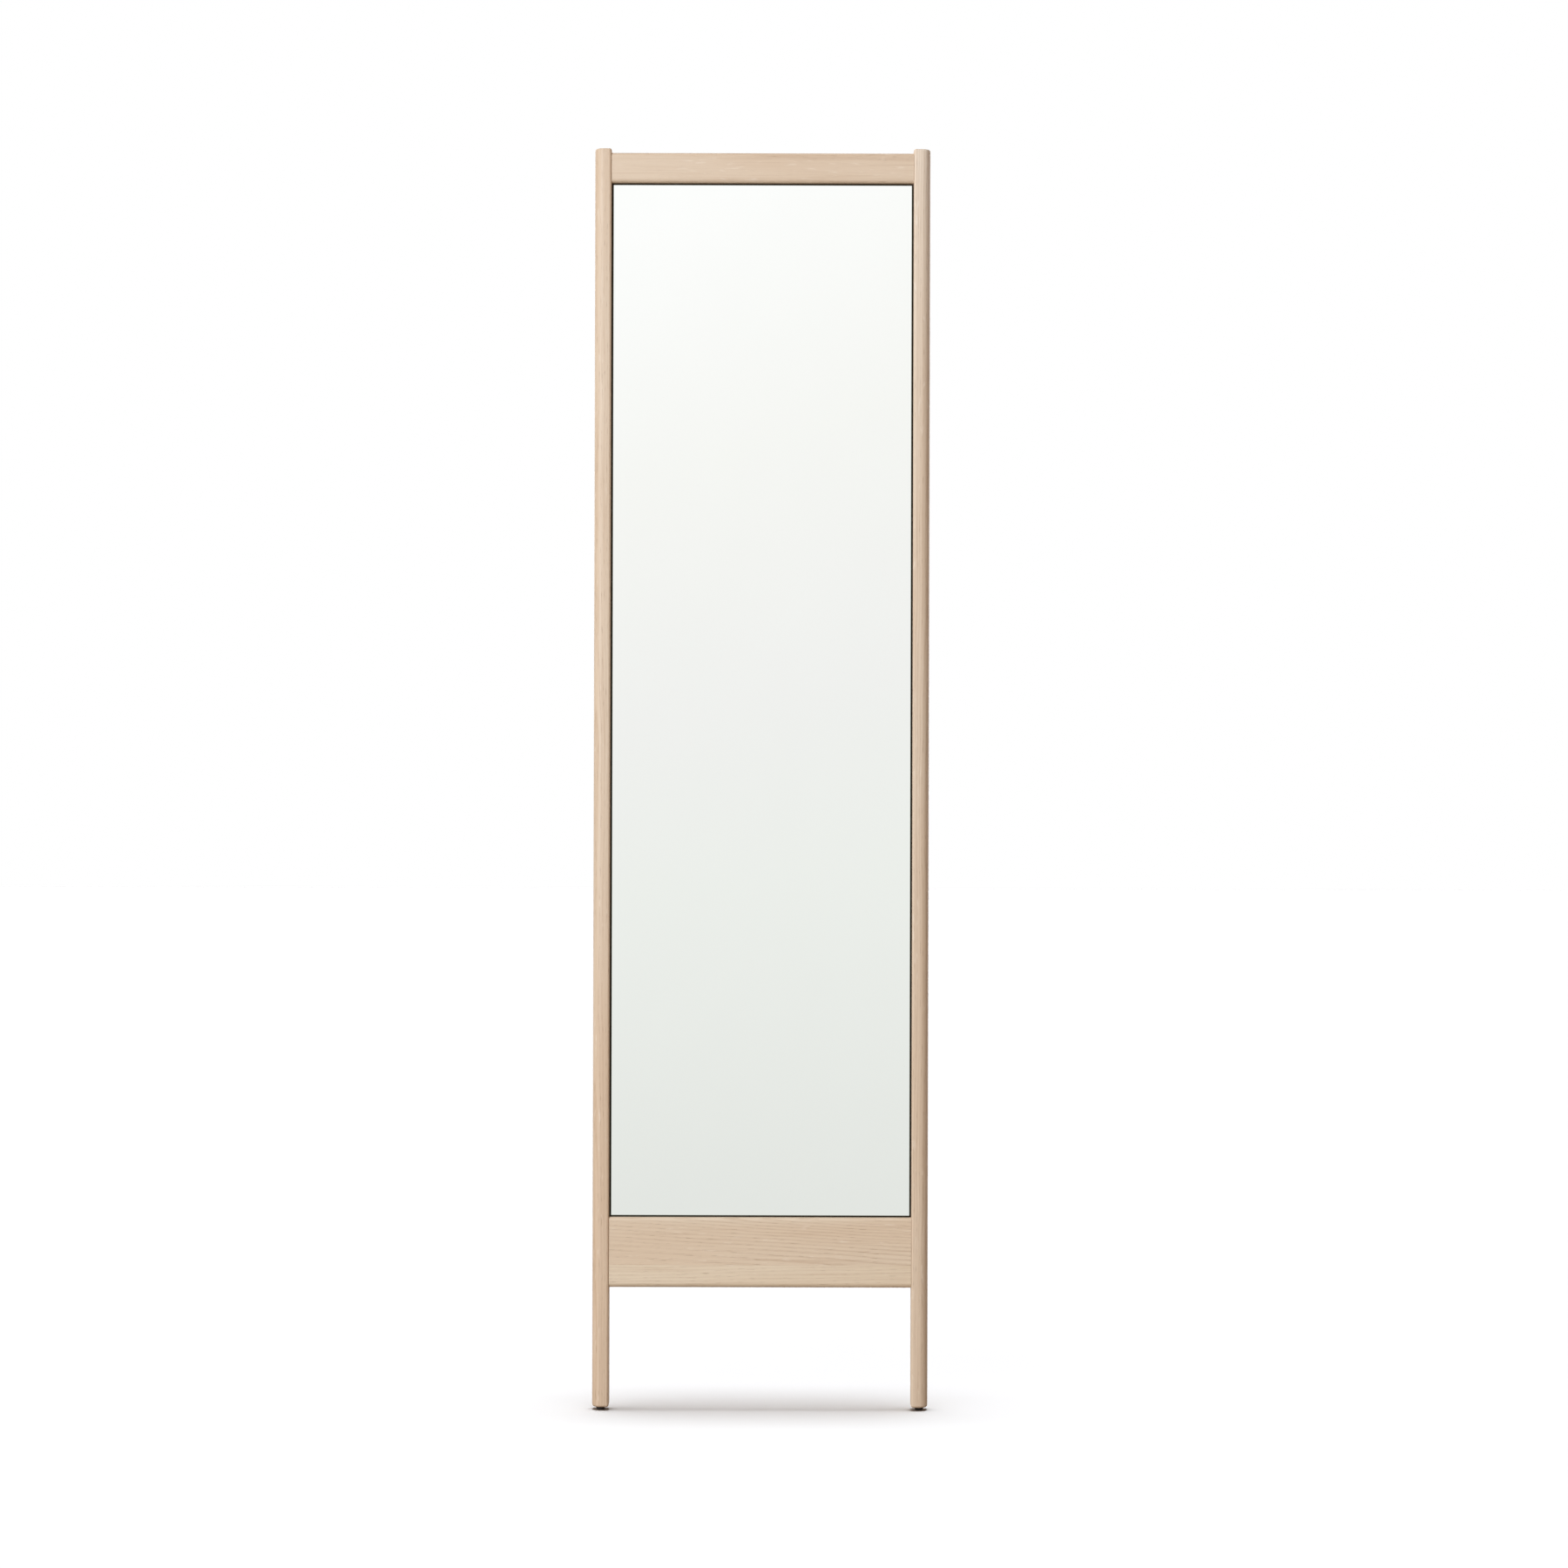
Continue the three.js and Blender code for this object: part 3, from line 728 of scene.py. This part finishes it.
def build_rail_board(node, tones, radii, rebates, holes, glued_below=False):
    """A board between the stiles. Where it is glued to one below, it reaches down to the glue line."""
    low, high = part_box(node)
    half = high.x + PLAY - HAIRLINE
    bottom = low.z - (PLAY - HAIRLINE if glued_below else 0)
    outline = rounded_outline((low.y, bottom), (high.y, high.z), radii)
    piece = loft(f"{node}_fine", [sideways(outline, -half), sideways(outline, half)])
    if rebates:
        carve(piece, rebates)
    carve(piece, holes)
    smooth(piece)
    stand_in(piece, node, wood(f"oak {node}", SEEDS[node], tones, **GRAIN[node]))


def rail_rebate(low_z, high_z):
    reach = abs(stile_box[1].x) + OVERCUT
    return block((-reach, SHOULDER, low_z), (reach, top_box[1].y + OVERCUT, high_z))


def keyhole_pocket():
    """The cutter for the hollow behind the keyhole, where the wall screw's head goes."""
    low_z = KEYHOLE["centre"] - POCKET["half_width"]
    return block(
        (-POCKET["half_width"], top_box[1].y - POCKET["depth"], low_z),
        (POCKET["half_width"], top_box[1].y + OVERCUT, low_z + POCKET["height"]),
    )


def build_rails():
    plate_screws = [f"wall_plate_screw_{side}" for side in SIDES]
    top_screws = [node for node in BACK_SCREWS if "top" in node]
    bottom_screws = [node for node in BACK_SCREWS if "bottom" in node]
    top_dowels = [node for node in DOWELS if "top" in node]
    bottom_dowels = [node for node in DOWELS if "bottom" in node]
    build_rail_board(
        "top_rail",
        OAK,
        (TOP_RAIL["lower"], EASE, TOP_RAIL["back"], TOP_RAIL["upper"]),
        [rail_rebate(top_box[0].z - OVERCUT, board_box[1].z + REBATE_PLAY)],
        [keyhole_pocket(), *screw_holes(plate_screws), *dowel_holes(top_dowels), *screw_holes(top_screws)],
    )
    upper_dowels = [node for node in bottom_dowels if centre_of(node).z > upper_box[0].z]
    build_rail_board(
        "bottom_rail_upper_board",
        PALER_OAK,
        (0, 0, EASE, BOTTOM_RAIL["upper"]),
        [rail_rebate(board_box[0].z - REBATE_PLAY, upper_box[1].z + OVERCUT)],
        [*dowel_holes(upper_dowels), *screw_holes(bottom_screws)],
        glued_below=True,
    )
    build_rail_board(
        "bottom_rail_lower_board",
        PALEST_OAK,
        (BOTTOM_RAIL["lower"], BOTTOM_RAIL["back"], 0, 0),
        [],
        dowel_holes([node for node in bottom_dowels if node not in upper_dowels]),
    )


# ---- Mirror, tape and backing board ----


def build_glass():
    """One pane: a silvered face, ground edges, and paint on the back."""
    node = "mirror_glass"
    low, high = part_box(node)
    piece = block(low, high)
    piece.name = piece.data.name = f"{node}_fine"
    ease_edges(piece, GLASS_ARRIS, segments=1)
    for face in piece.data.polygons:
        if abs(face.normal.y) < FACE_ON:
            face.material_index = 1
        else:
            face.material_index = 0 if face.normal.y < 0 else 2
    indices = [face.material_index for face in piece.data.polygons]
    stand_in(piece, node, mirror_silver(), glass_edge(), mirror_paint())
    piece.data.polygons.foreach_set("material_index", indices)


def build_tapes():
    material = foam()
    for node in sorted(n for n in frame["nodes"] if n.startswith("mirror_tape")):
        low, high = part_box(node)
        outline = rounded_outline(low[:2], high[:2], (TAPE_EDGE,) * 4)
        piece = loft(f"{node}_fine", [upright(outline, low.z), upright(outline, high.z)])
        smooth(piece)
        stand_in(piece, node, material)


def build_board():
    node = "backing_board"
    low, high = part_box(node)
    piece = block(low, high)
    piece.name = piece.data.name = f"{node}_fine"
    ends = (low.y - OVERCUT, high.y + OVERCUT)
    holes = []
    for screw in BACK_SCREWS:
        middle = centre_of(screw)
        place = Vector((middle.x, 0, middle.z))
        holes.append(rod(place, Vector((0, 1, 0)), CLEARANCE_HOLE, *ends, HOLE_SIDES["clearance"]))
    carve(piece, holes)
    ease_edges(piece, EASE)
    smooth(piece)
    stand_in(piece, node, fibreboard())


# ---- Fasteners ----


def fluted_ring(x, radius):
    """A dowel's outline, with a groove for each flute."""
    sides = 4 * DOWEL_FLUTES
    ring = []
    for i in range(sides):
        angle = math.tau * i / sides
        fluted = radius - DOWEL_FLUTE_DEPTH * (0.5 + 0.5 * math.cos(angle * DOWEL_FLUTES))
        ring.append((x, fluted * math.cos(angle), fluted * math.sin(angle)))
    return ring


def build_dowels():
    material = wood("beech dowel", SEEDS["dowel"], BEECH, **DOWEL_GRAIN)
    for node in DOWELS:
        half = half_size(node)
        full_to = half.x - DOWEL_CHAMFER
        end_radius = half.z - DOWEL_CHAMFER
        stations = ((-half.x, end_radius), (-full_to, half.z), (full_to, half.z), (half.x, end_radius))
        piece = loft(f"{node}_fine", [fluted_ring(x, radius) for x, radius in stations])
        piece.location = centre_of(node)
        smooth(piece)
        stand_in(piece, node, material)


def cross_recess(top):
    """The cutter for a screw's cross recess, which narrows towards its floor. Its head faces +Z."""
    wing, slot = RECESS["wing"], RECESS["slot"]
    quarter = ((wing, -slot), (wing, slot), (slot, slot))
    outline = []
    for c, s in ((1, 0), (0, 1), (-1, 0), (0, -1)):
        outline += [(u * c - v * s, u * s + v * c) for u, v in quarter]
    levels = ((RECESS["depth"], RECESS["floor"]), (0, 1), (-CUTTER_END, RECESS["mouth"]))
    rings = []
    for depth, share in levels:
        share_v = (1 + share) / 2
        rings.append([(u * share, v * share_v, top - depth) for u, v in outline])
    return loft("cutter", rings)


def screw_mesh(name, head, head_high, neck):
    """A cross-head wood screw along Y, with the underside or the rim of its head at zero."""
    profile = [(0, -SCREW_LENGTH)]
    for row in range(1, SCREW_ROWS):
        height = -SCREW_LENGTH + (SCREW_LENGTH + neck) * row / SCREW_ROWS
        taper = min(1, (height + SCREW_LENGTH) / SCREW_POINT)
        profile.append((SCREW_SHANK * taper, height, True))
    profile += head
    piece = turned(name, profile, SCREW_SIDES, WOOD_THREAD)
    carve(piece, [cross_recess(head_high)])
    smooth(piece, SHARP["turned"])
    piece.data.transform(TO_BACK)
    mesh = piece.data
    bpy.data.objects.remove(piece)
    return mesh


def build_screws():
    material = plated_steel()
    radius = half_size(BACK_SCREWS[0]).x
    crown = PAN_HEAD * PAN_CROWN
    pan = [(SCREW_SHANK, 0), (radius - EASE, 0), (radius, EASE)]
    pan += arc_profile((radius - crown, PAN_HEAD - crown), crown, 0, 90)
    pan.append((0, PAN_HEAD))
    pan_mesh = screw_mesh("pan-head screw", pan, PAN_HEAD, 0)
    plate_radius = half_size("wall_plate_screw_left").x
    flat = [(SCREW_SHANK, -FLAT_HEAD), (plate_radius, -EASE), (plate_radius, 0), (0, 0)]
    flat_mesh = screw_mesh("flat-head screw", flat, 0, -FLAT_HEAD)
    chance = random.Random(SEEDS["screw"])
    plate_screws = [f"wall_plate_screw_{side}" for side in SIDES]
    for node in BACK_SCREWS + plate_screws:
        is_flat = node in plate_screws
        low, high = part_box(node)
        piece = bpy.data.objects.new(f"{node}_fine", (flat_mesh if is_flat else pan_mesh).copy())
        bpy.context.scene.collection.objects.link(piece)
        head_base = high.y - (0 if is_flat else PAN_HEAD)
        piece.location = ((low.x + high.x) / 2, head_base, (low.z + high.z) / 2)
        piece.rotation_euler = (0, chance.uniform(0, math.pi / 2), 0)
        stand_in(piece, node, material)


# ---- Feet ----


def insert_profile(low, high):
    """A barbed sleeve with a plain bore. It closes on itself."""
    outer = (high.x - low.x) / 2
    bore = STEM_RADIUS + PLAY
    edge = INSERT["edge"]
    barb_height = (high.z - low.z - 2 * edge) / INSERT["barbs"]
    profile = [(bore, low.z + edge), (bore + edge, low.z), (outer - edge, low.z)]
    for barb in range(INSERT["barbs"]):
        start = low.z + edge + barb_height * barb
        middle = start + barb_height / 2
        profile += [(outer, start), (outer, middle), (outer - edge, start + barb_height - EASE / 2)]
    profile += [(outer - edge, high.z), (bore + edge, high.z), (bore, high.z - edge)]
    return profile


def stem_profile(top):
    """From the flange's underside, up the thread, to the chamfered top."""
    flange, low, high = FLANGE["radius"], FLANGE["low"], FLANGE["high"]
    edge = EASE / 2
    thread_top = top - STEM["chamfer"]
    threaded = thread_top - high
    profile = [
        (0, low),
        (flange - edge, low),
        (flange, low + edge),
        (flange, high - edge),
        (flange - edge, high),
        (STEM_RADIUS, high),
    ]
    rows = round(threaded / M6_THREAD["pitch"] * STEM["steps_a_turn"])
    for row in range(1, rows):
        profile.append((STEM_RADIUS, high + threaded * row / rows, True))
    root = STEM_RADIUS - M6_THREAD["depth"]
    profile += [(root, thread_top), (STEM_RADIUS - STEM["chamfer"], top), (0, top)]
    return profile


def pad_profile(top):
    """A domed underside, a rounded lip, and the hollow that holds the stem's flange."""
    lip = PAD["lip"]
    width = PAD["top"] - PAD["floor"]
    bore = STEM_RADIUS + PLAY
    hollow = FLANGE["radius"] + PLAY
    hollow_top = FLANGE["high"] + PLAY
    hollow_low = FLANGE["low"] - PLAY
    profile = [(0, 0)]
    for step in range(ARC_STEPS + 1):
        angle = math.radians(-90 + 90 * step / ARC_STEPS)
        height = PAD["shoulder"] * (1 + math.sin(angle))
        profile.append((PAD["floor"] + width * math.cos(angle), height))
    profile += arc_profile((PAD["top"] - lip, top - lip), lip, 0, 90, PAD["lip_steps"])
    profile += [(bore, top), (bore, hollow_top), (hollow, hollow_top), (hollow, hollow_low), (0, hollow_low)]
    return profile


def build_foot(side, steel, brass, rubber):
    """The insert is fixed in the leg. The stem turns in it, and holds the pad on its flange."""
    stem_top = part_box(f"{side}_foot_stem")[1].z
    pad_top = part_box(f"{side}_foot_pad")[1].z
    profiles = {
        "insert": insert_profile(*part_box(f"{side}_foot_insert")),
        "stem": stem_profile(stem_top),
        "pad": pad_profile(pad_top),
    }
    finishes = (
        ("insert", INSERT["sides"], None, SHARP["plain"], brass),
        ("stem", STEM["sides"], M6_THREAD, SHARP["threaded"], steel),
        ("pad", RUBBER_SIDES, None, SHARP["turned"], rubber),
    )
    for part, sides, thread, sharp, material in finishes:
        node = f"{side}_foot_{part}"
        piece = turned(f"{node}_fine", profiles[part], sides, thread)
        piece.location = floor_under(f"{side}_foot_stem")
        smooth(piece, sharp)
        stand_in(piece, node, material)


# ---- Wall fittings ----


def build_bumper(side, rubber):
    node = f"{side}_wall_bumper"
    low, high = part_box(node)
    radius, thickness = (high.x - low.x) / 2, high.y - low.y
    edge, dish = BUMPER["edge"], BUMPER["dish"]
    face = radius - BUMPER["draft"]
    profile = [(0, 0), (radius - EASE, 0), (radius, EASE)]
    profile += arc_profile((face - edge, thickness - edge), edge, 0, 90)
    profile += [(dish + EASE, thickness), (dish, thickness - BUMPER["dish_depth"] / 2)]
    profile += [(dish - EASE, thickness - BUMPER["dish_depth"]), (0, thickness - BUMPER["dish_depth"])]
    piece = turned(f"{node}_fine", profile, RUBBER_SIDES)
    piece.data.transform(TO_BACK)
    middle = centre_of(node)
    piece.location = (middle.x, low.y - PLAY + HAIRLINE, middle.z)
    smooth(piece, SHARP["turned"])
    stand_in(piece, node, rubber)


def keyhole_outline():
    """A round hole with a narrower slot above it, in X and Z."""
    hole, slot = KEYHOLE["hole"], KEYHOLE["slot"]
    mouth = math.acos(slot / hole)
    points = []
    steps = 3 * ARC_STEPS
    for step in range(steps + 1):
        angle = math.pi - mouth + (math.pi + 2 * mouth) * step / steps
        points.append((hole * math.cos(angle), KEYHOLE["centre"] + hole * math.sin(angle)))
    for step in range(ARC_STEPS + 1):
        angle = math.pi * step / ARC_STEPS
        points.append((slot * math.cos(angle), KEYHOLE["slot_top"] + slot * math.sin(angle)))
    return points


def countersink(node, face_y):
    """The cutter for a plate screw's hole, with the cone that its head sinks into."""
    rim = half_size(node).x + PLAY
    bore = SCREW_SHANK + PLAY
    low, high = -OVERCUT, CUTTER_END
    cone_low = -FLAT_HEAD - PLAY / 2
    profile = [(0, low), (bore, low), (bore, cone_low), (rim, 0), (rim, high), (0, high)]
    cutter = turned("cutter", profile, HOLE_SIDES["sink"])
    middle = centre_of(node)
    cutter.data.transform(Matrix.Translation((middle.x, face_y, middle.z)) @ TO_BACK)
    return cutter


def build_wall_plate(steel):
    node = "wall_plate"
    low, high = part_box(node)
    outline = rounded_outline((low.x, low.z), (high.x, high.z), (PLATE_CORNER,) * 4)
    piece = loft(f"{node}_fine", [facing_front(outline, low.y), facing_front(outline, high.y)])
    hole = keyhole_outline()
    ends = (low.y - CUTTER_END, high.y + CUTTER_END)
    carve(piece, [loft("cutter", [facing_front(hole, y) for y in ends])])
    ease_edges(piece, PLATE_EDGE)
    carve(piece, [countersink(f"wall_plate_screw_{side}", high.y) for side in SIDES])
    smooth(piece)
    stand_in(piece, node, steel)


# ---- Studio ----

# The card's painted glow from its foot to its top, which the mirror shows as its reflection.
REFLECTION_CARD_GLOW = (
    (0.04, colour(227, 229, 225)),
    (0.19, colour(232, 234, 230)),
    (0.34, colour(236, 238, 234)),
    (0.5, colour(240, 240, 238)),
    (0.73, colour(246, 246, 243)),
    (0.97, colour(253, 253, 252)),
)


def build_camera():
    lens = bpy.data.cameras.new("camera")
    lens.sensor_width = SENSOR
    lens.lens = SENSOR * CAMERA_DISTANCE / VIEW_WIDTH
    lens.clip_end = CAMERA_REACH
    camera = bpy.data.objects.new("camera", lens)
    bpy.context.scene.collection.objects.link(camera)
    camera.location = (CAMERA_X, FRONT - CAMERA_DISTANCE, CAMERA_HEIGHT)
    level = Matrix.Rotation(math.radians(90), 4, "X")
    roll = Matrix.Rotation(CAMERA_ROLL, 4, "Z")
    camera.rotation_euler = (level @ roll).to_euler()
    bpy.context.scene.camera = camera


def build_world():
    """White to the camera and a soft pale room to reflections. All else is lit softly from the left front."""
    world = bpy.data.worlds.new("studio")
    world.use_nodes = True
    bpy.context.scene.world = world
    world.node_tree.nodes.clear()
    nodes = Nodes(world.node_tree)
    direction = nodes.add("ShaderNodeTexCoord").outputs["Generated"]
    toward = nodes.add("ShaderNodeVectorMath", {0: direction, 1: FILL_FROM}, operation="DOT_PRODUCT")
    lit = nodes.remap(toward.outputs["Value"], -1.0, 1.0, curve="LINEAR")
    fill = nodes.ramp(lit, FILL_STOPS)
    height = nodes.add("ShaderNodeSeparateXYZ", {0: direction}).outputs["Z"]
    room = nodes.ramp(nodes.remap(height, 0.0, ROOM_RISE, curve="LINEAR"), ROOM_STOPS)
    shaded = nodes.mix(1.0, room, nodes.mix(lit, ROOM_RIGHT, WHITE), blend="MULTIPLY")
    path = nodes.add("ShaderNodeLightPath").outputs
    seen = nodes.mix(path["Is Glossy Ray"], fill, shaded)
    shown = nodes.mix(path["Is Camera Ray"], seen, WHITE)
    background = nodes.add("ShaderNodeBackground", {"Color": shown, "Strength": 1.0})
    nodes.add("ShaderNodeOutputWorld", {"Surface": background.outputs[0]})


def lamp(name, kind, place, aim, energy, tint, **settings):
    data = bpy.data.lights.new(name, kind)
    data.energy = energy
    data.color = tint
    for key, value in settings.items():
        setattr(data, key, value)
    light = bpy.data.objects.new(name, data)
    bpy.context.scene.collection.objects.link(light)
    light.location = place
    light.rotation_euler = (Vector(aim) - Vector(place)).to_track_quat("-Z", "Y").to_euler()
    return light


def link_light(light, things, state):
    """Makes a lamp light only these things, or everything but them."""
    receivers = bpy.data.collections.new(f"{light.name} receivers")
    for thing in things:
        receivers.objects.link(thing)
    for member in receivers.collection_objects:
        member.light_linking.link_state = state
    light.light_linking.receiver_collection = receivers


def build_lamps(floor):
    """A key lamp at the upper left front and two behind light the object, but don't show in its mirror.
    A sun overhead lights only the floor. A small cool lamp makes the sheen on the right stile's top."""
    glass = bpy.data.objects["mirror_glass_fine"]
    stile = bpy.data.objects["right_stile_fine"]
    for name, settings in (("key", KEY), ("back left", BACK_LEFT), ("back right", BACK_RIGHT)):
        link_light(lamp(name, "AREA", **settings), [floor, glass], "EXCLUDE")
    link_light(lamp("top", "SUN", **TOP), [floor], "INCLUDE")
    link_light(lamp("cool", "AREA", **COOL), [stile], "INCLUDE")


def build_floor():
    """A matt pale floor. It throws back less light than it shows, and brightens far off in the mirror."""
    mesh = bmesh.new()
    bmesh.ops.create_grid(mesh, x_segments=FLOOR_GRID, y_segments=FLOOR_GRID, size=FLOOR_SIZE / 2)
    floor = new_piece("floor", mesh)
    shader = Shader("studio floor")
    mottle = shader.noise(shader.place, (3, 3, 3), detail=4)
    pale = shader.mix(mottle, *FLOOR_TONES)
    far = shader.add("ShaderNodeVectorMath", {0: shader.place}, operation="LENGTH").outputs["Value"]
    mirrored = shader.mix(shader.remap(far, 0.0, FLOOR_FAR), FLOOR_MIRRORED_NEAR, FLOOR_MIRRORED_FAR)
    path = shader.add("ShaderNodeLightPath").outputs
    bounced = shader.mix(path["Is Glossy Ray"], FLOOR_BOUNCE, mirrored)
    shader.set(
        Base_Color=shader.mix(path["Is Camera Ray"], bounced, pale),
        Roughness=1.0,
        Specular_IOR_Level=0.0,
    )
    floor.data.materials.append(shader.material)
    return floor


def build_glowing_reflection_card():
    """A glowing card, seen only in reflections: its painted gradient is what the mirror shows, white at the
    top left, pale grey-green low down.
    """
    low, high = REFLECTION_CARD_SPAN
    y = FRONT - REFLECTION_CARD_DISTANCE
    mesh = bmesh.new()
    corners = ((low[0], y, low[1]), (high[0], y, low[1]), (high[0], y, high[1]), (low[0], y, high[1]))
    mesh.faces.new([mesh.verts.new(corner) for corner in corners])
    card = new_piece("glowing_reflection_card", mesh)
    shader = Shader("glowing_reflection_card")
    axes = shader.add("ShaderNodeSeparateXYZ", {0: shader.place}).outputs
    tilt = shader.math("MULTIPLY", shader.math("MULTIPLY", axes["X"], axes["Z"]), -REFLECTION_CARD_FALLOFF)
    along = shader.math("ADD", axes["Z"], tilt)
    glow = shader.ramp(shader.math("DIVIDE", along, REFLECTION_CARD_TOP), REFLECTION_CARD_GLOW)
    emission = shader.add("ShaderNodeEmission", {"Color": glow, "Strength": 1 / SILVER})
    output = shader.tree.nodes["Material Output"]
    edge_x = shader.remap(shader.math("ABSOLUTE", axes["X"]), REFLECTION_CARD_FADE[0], high[0])
    edge_z = shader.remap(axes["Z"], REFLECTION_CARD_FADE[1], high[1])
    away = shader.math("MAXIMUM", edge_x, edge_z)
    clear = shader.add("ShaderNodeBsdfTransparent")
    blend = shader.add("ShaderNodeMixShader", {0: away, 1: emission.outputs[0], 2: clear.outputs[0]})
    shader.tree.links.new(blend.outputs[0], output.inputs["Surface"])
    shader.tree.nodes.remove(shader.principled)
    card.data.materials.append(shader.material)
    # It lights nothing and shows only in reflections, as a painted reflection.
    for ray in ("camera", "diffuse", "transmission", "shadow", "volume_scatter"):
        setattr(card, f"visible_{ray}", False)


bpy.context.scene.view_settings.view_transform = "Standard"
build_camera()
build_world()
build_glowing_reflection_card()
for side_name, side_sign in SIDES.items():
    build_stile(side_name, side_sign)
build_rails()
build_glass()
build_tapes()
build_board()
build_dowels()
build_screws()
fittings_steel = plated_steel()
fittings_brass = turned_brass()
fittings_rubber = moulded_rubber()
for side_name in SIDES:
    build_foot(side_name, fittings_steel, fittings_brass, fittings_rubber)
    build_bumper(side_name, fittings_rubber)
build_wall_plate(fittings_steel)
build_lamps(build_floor())
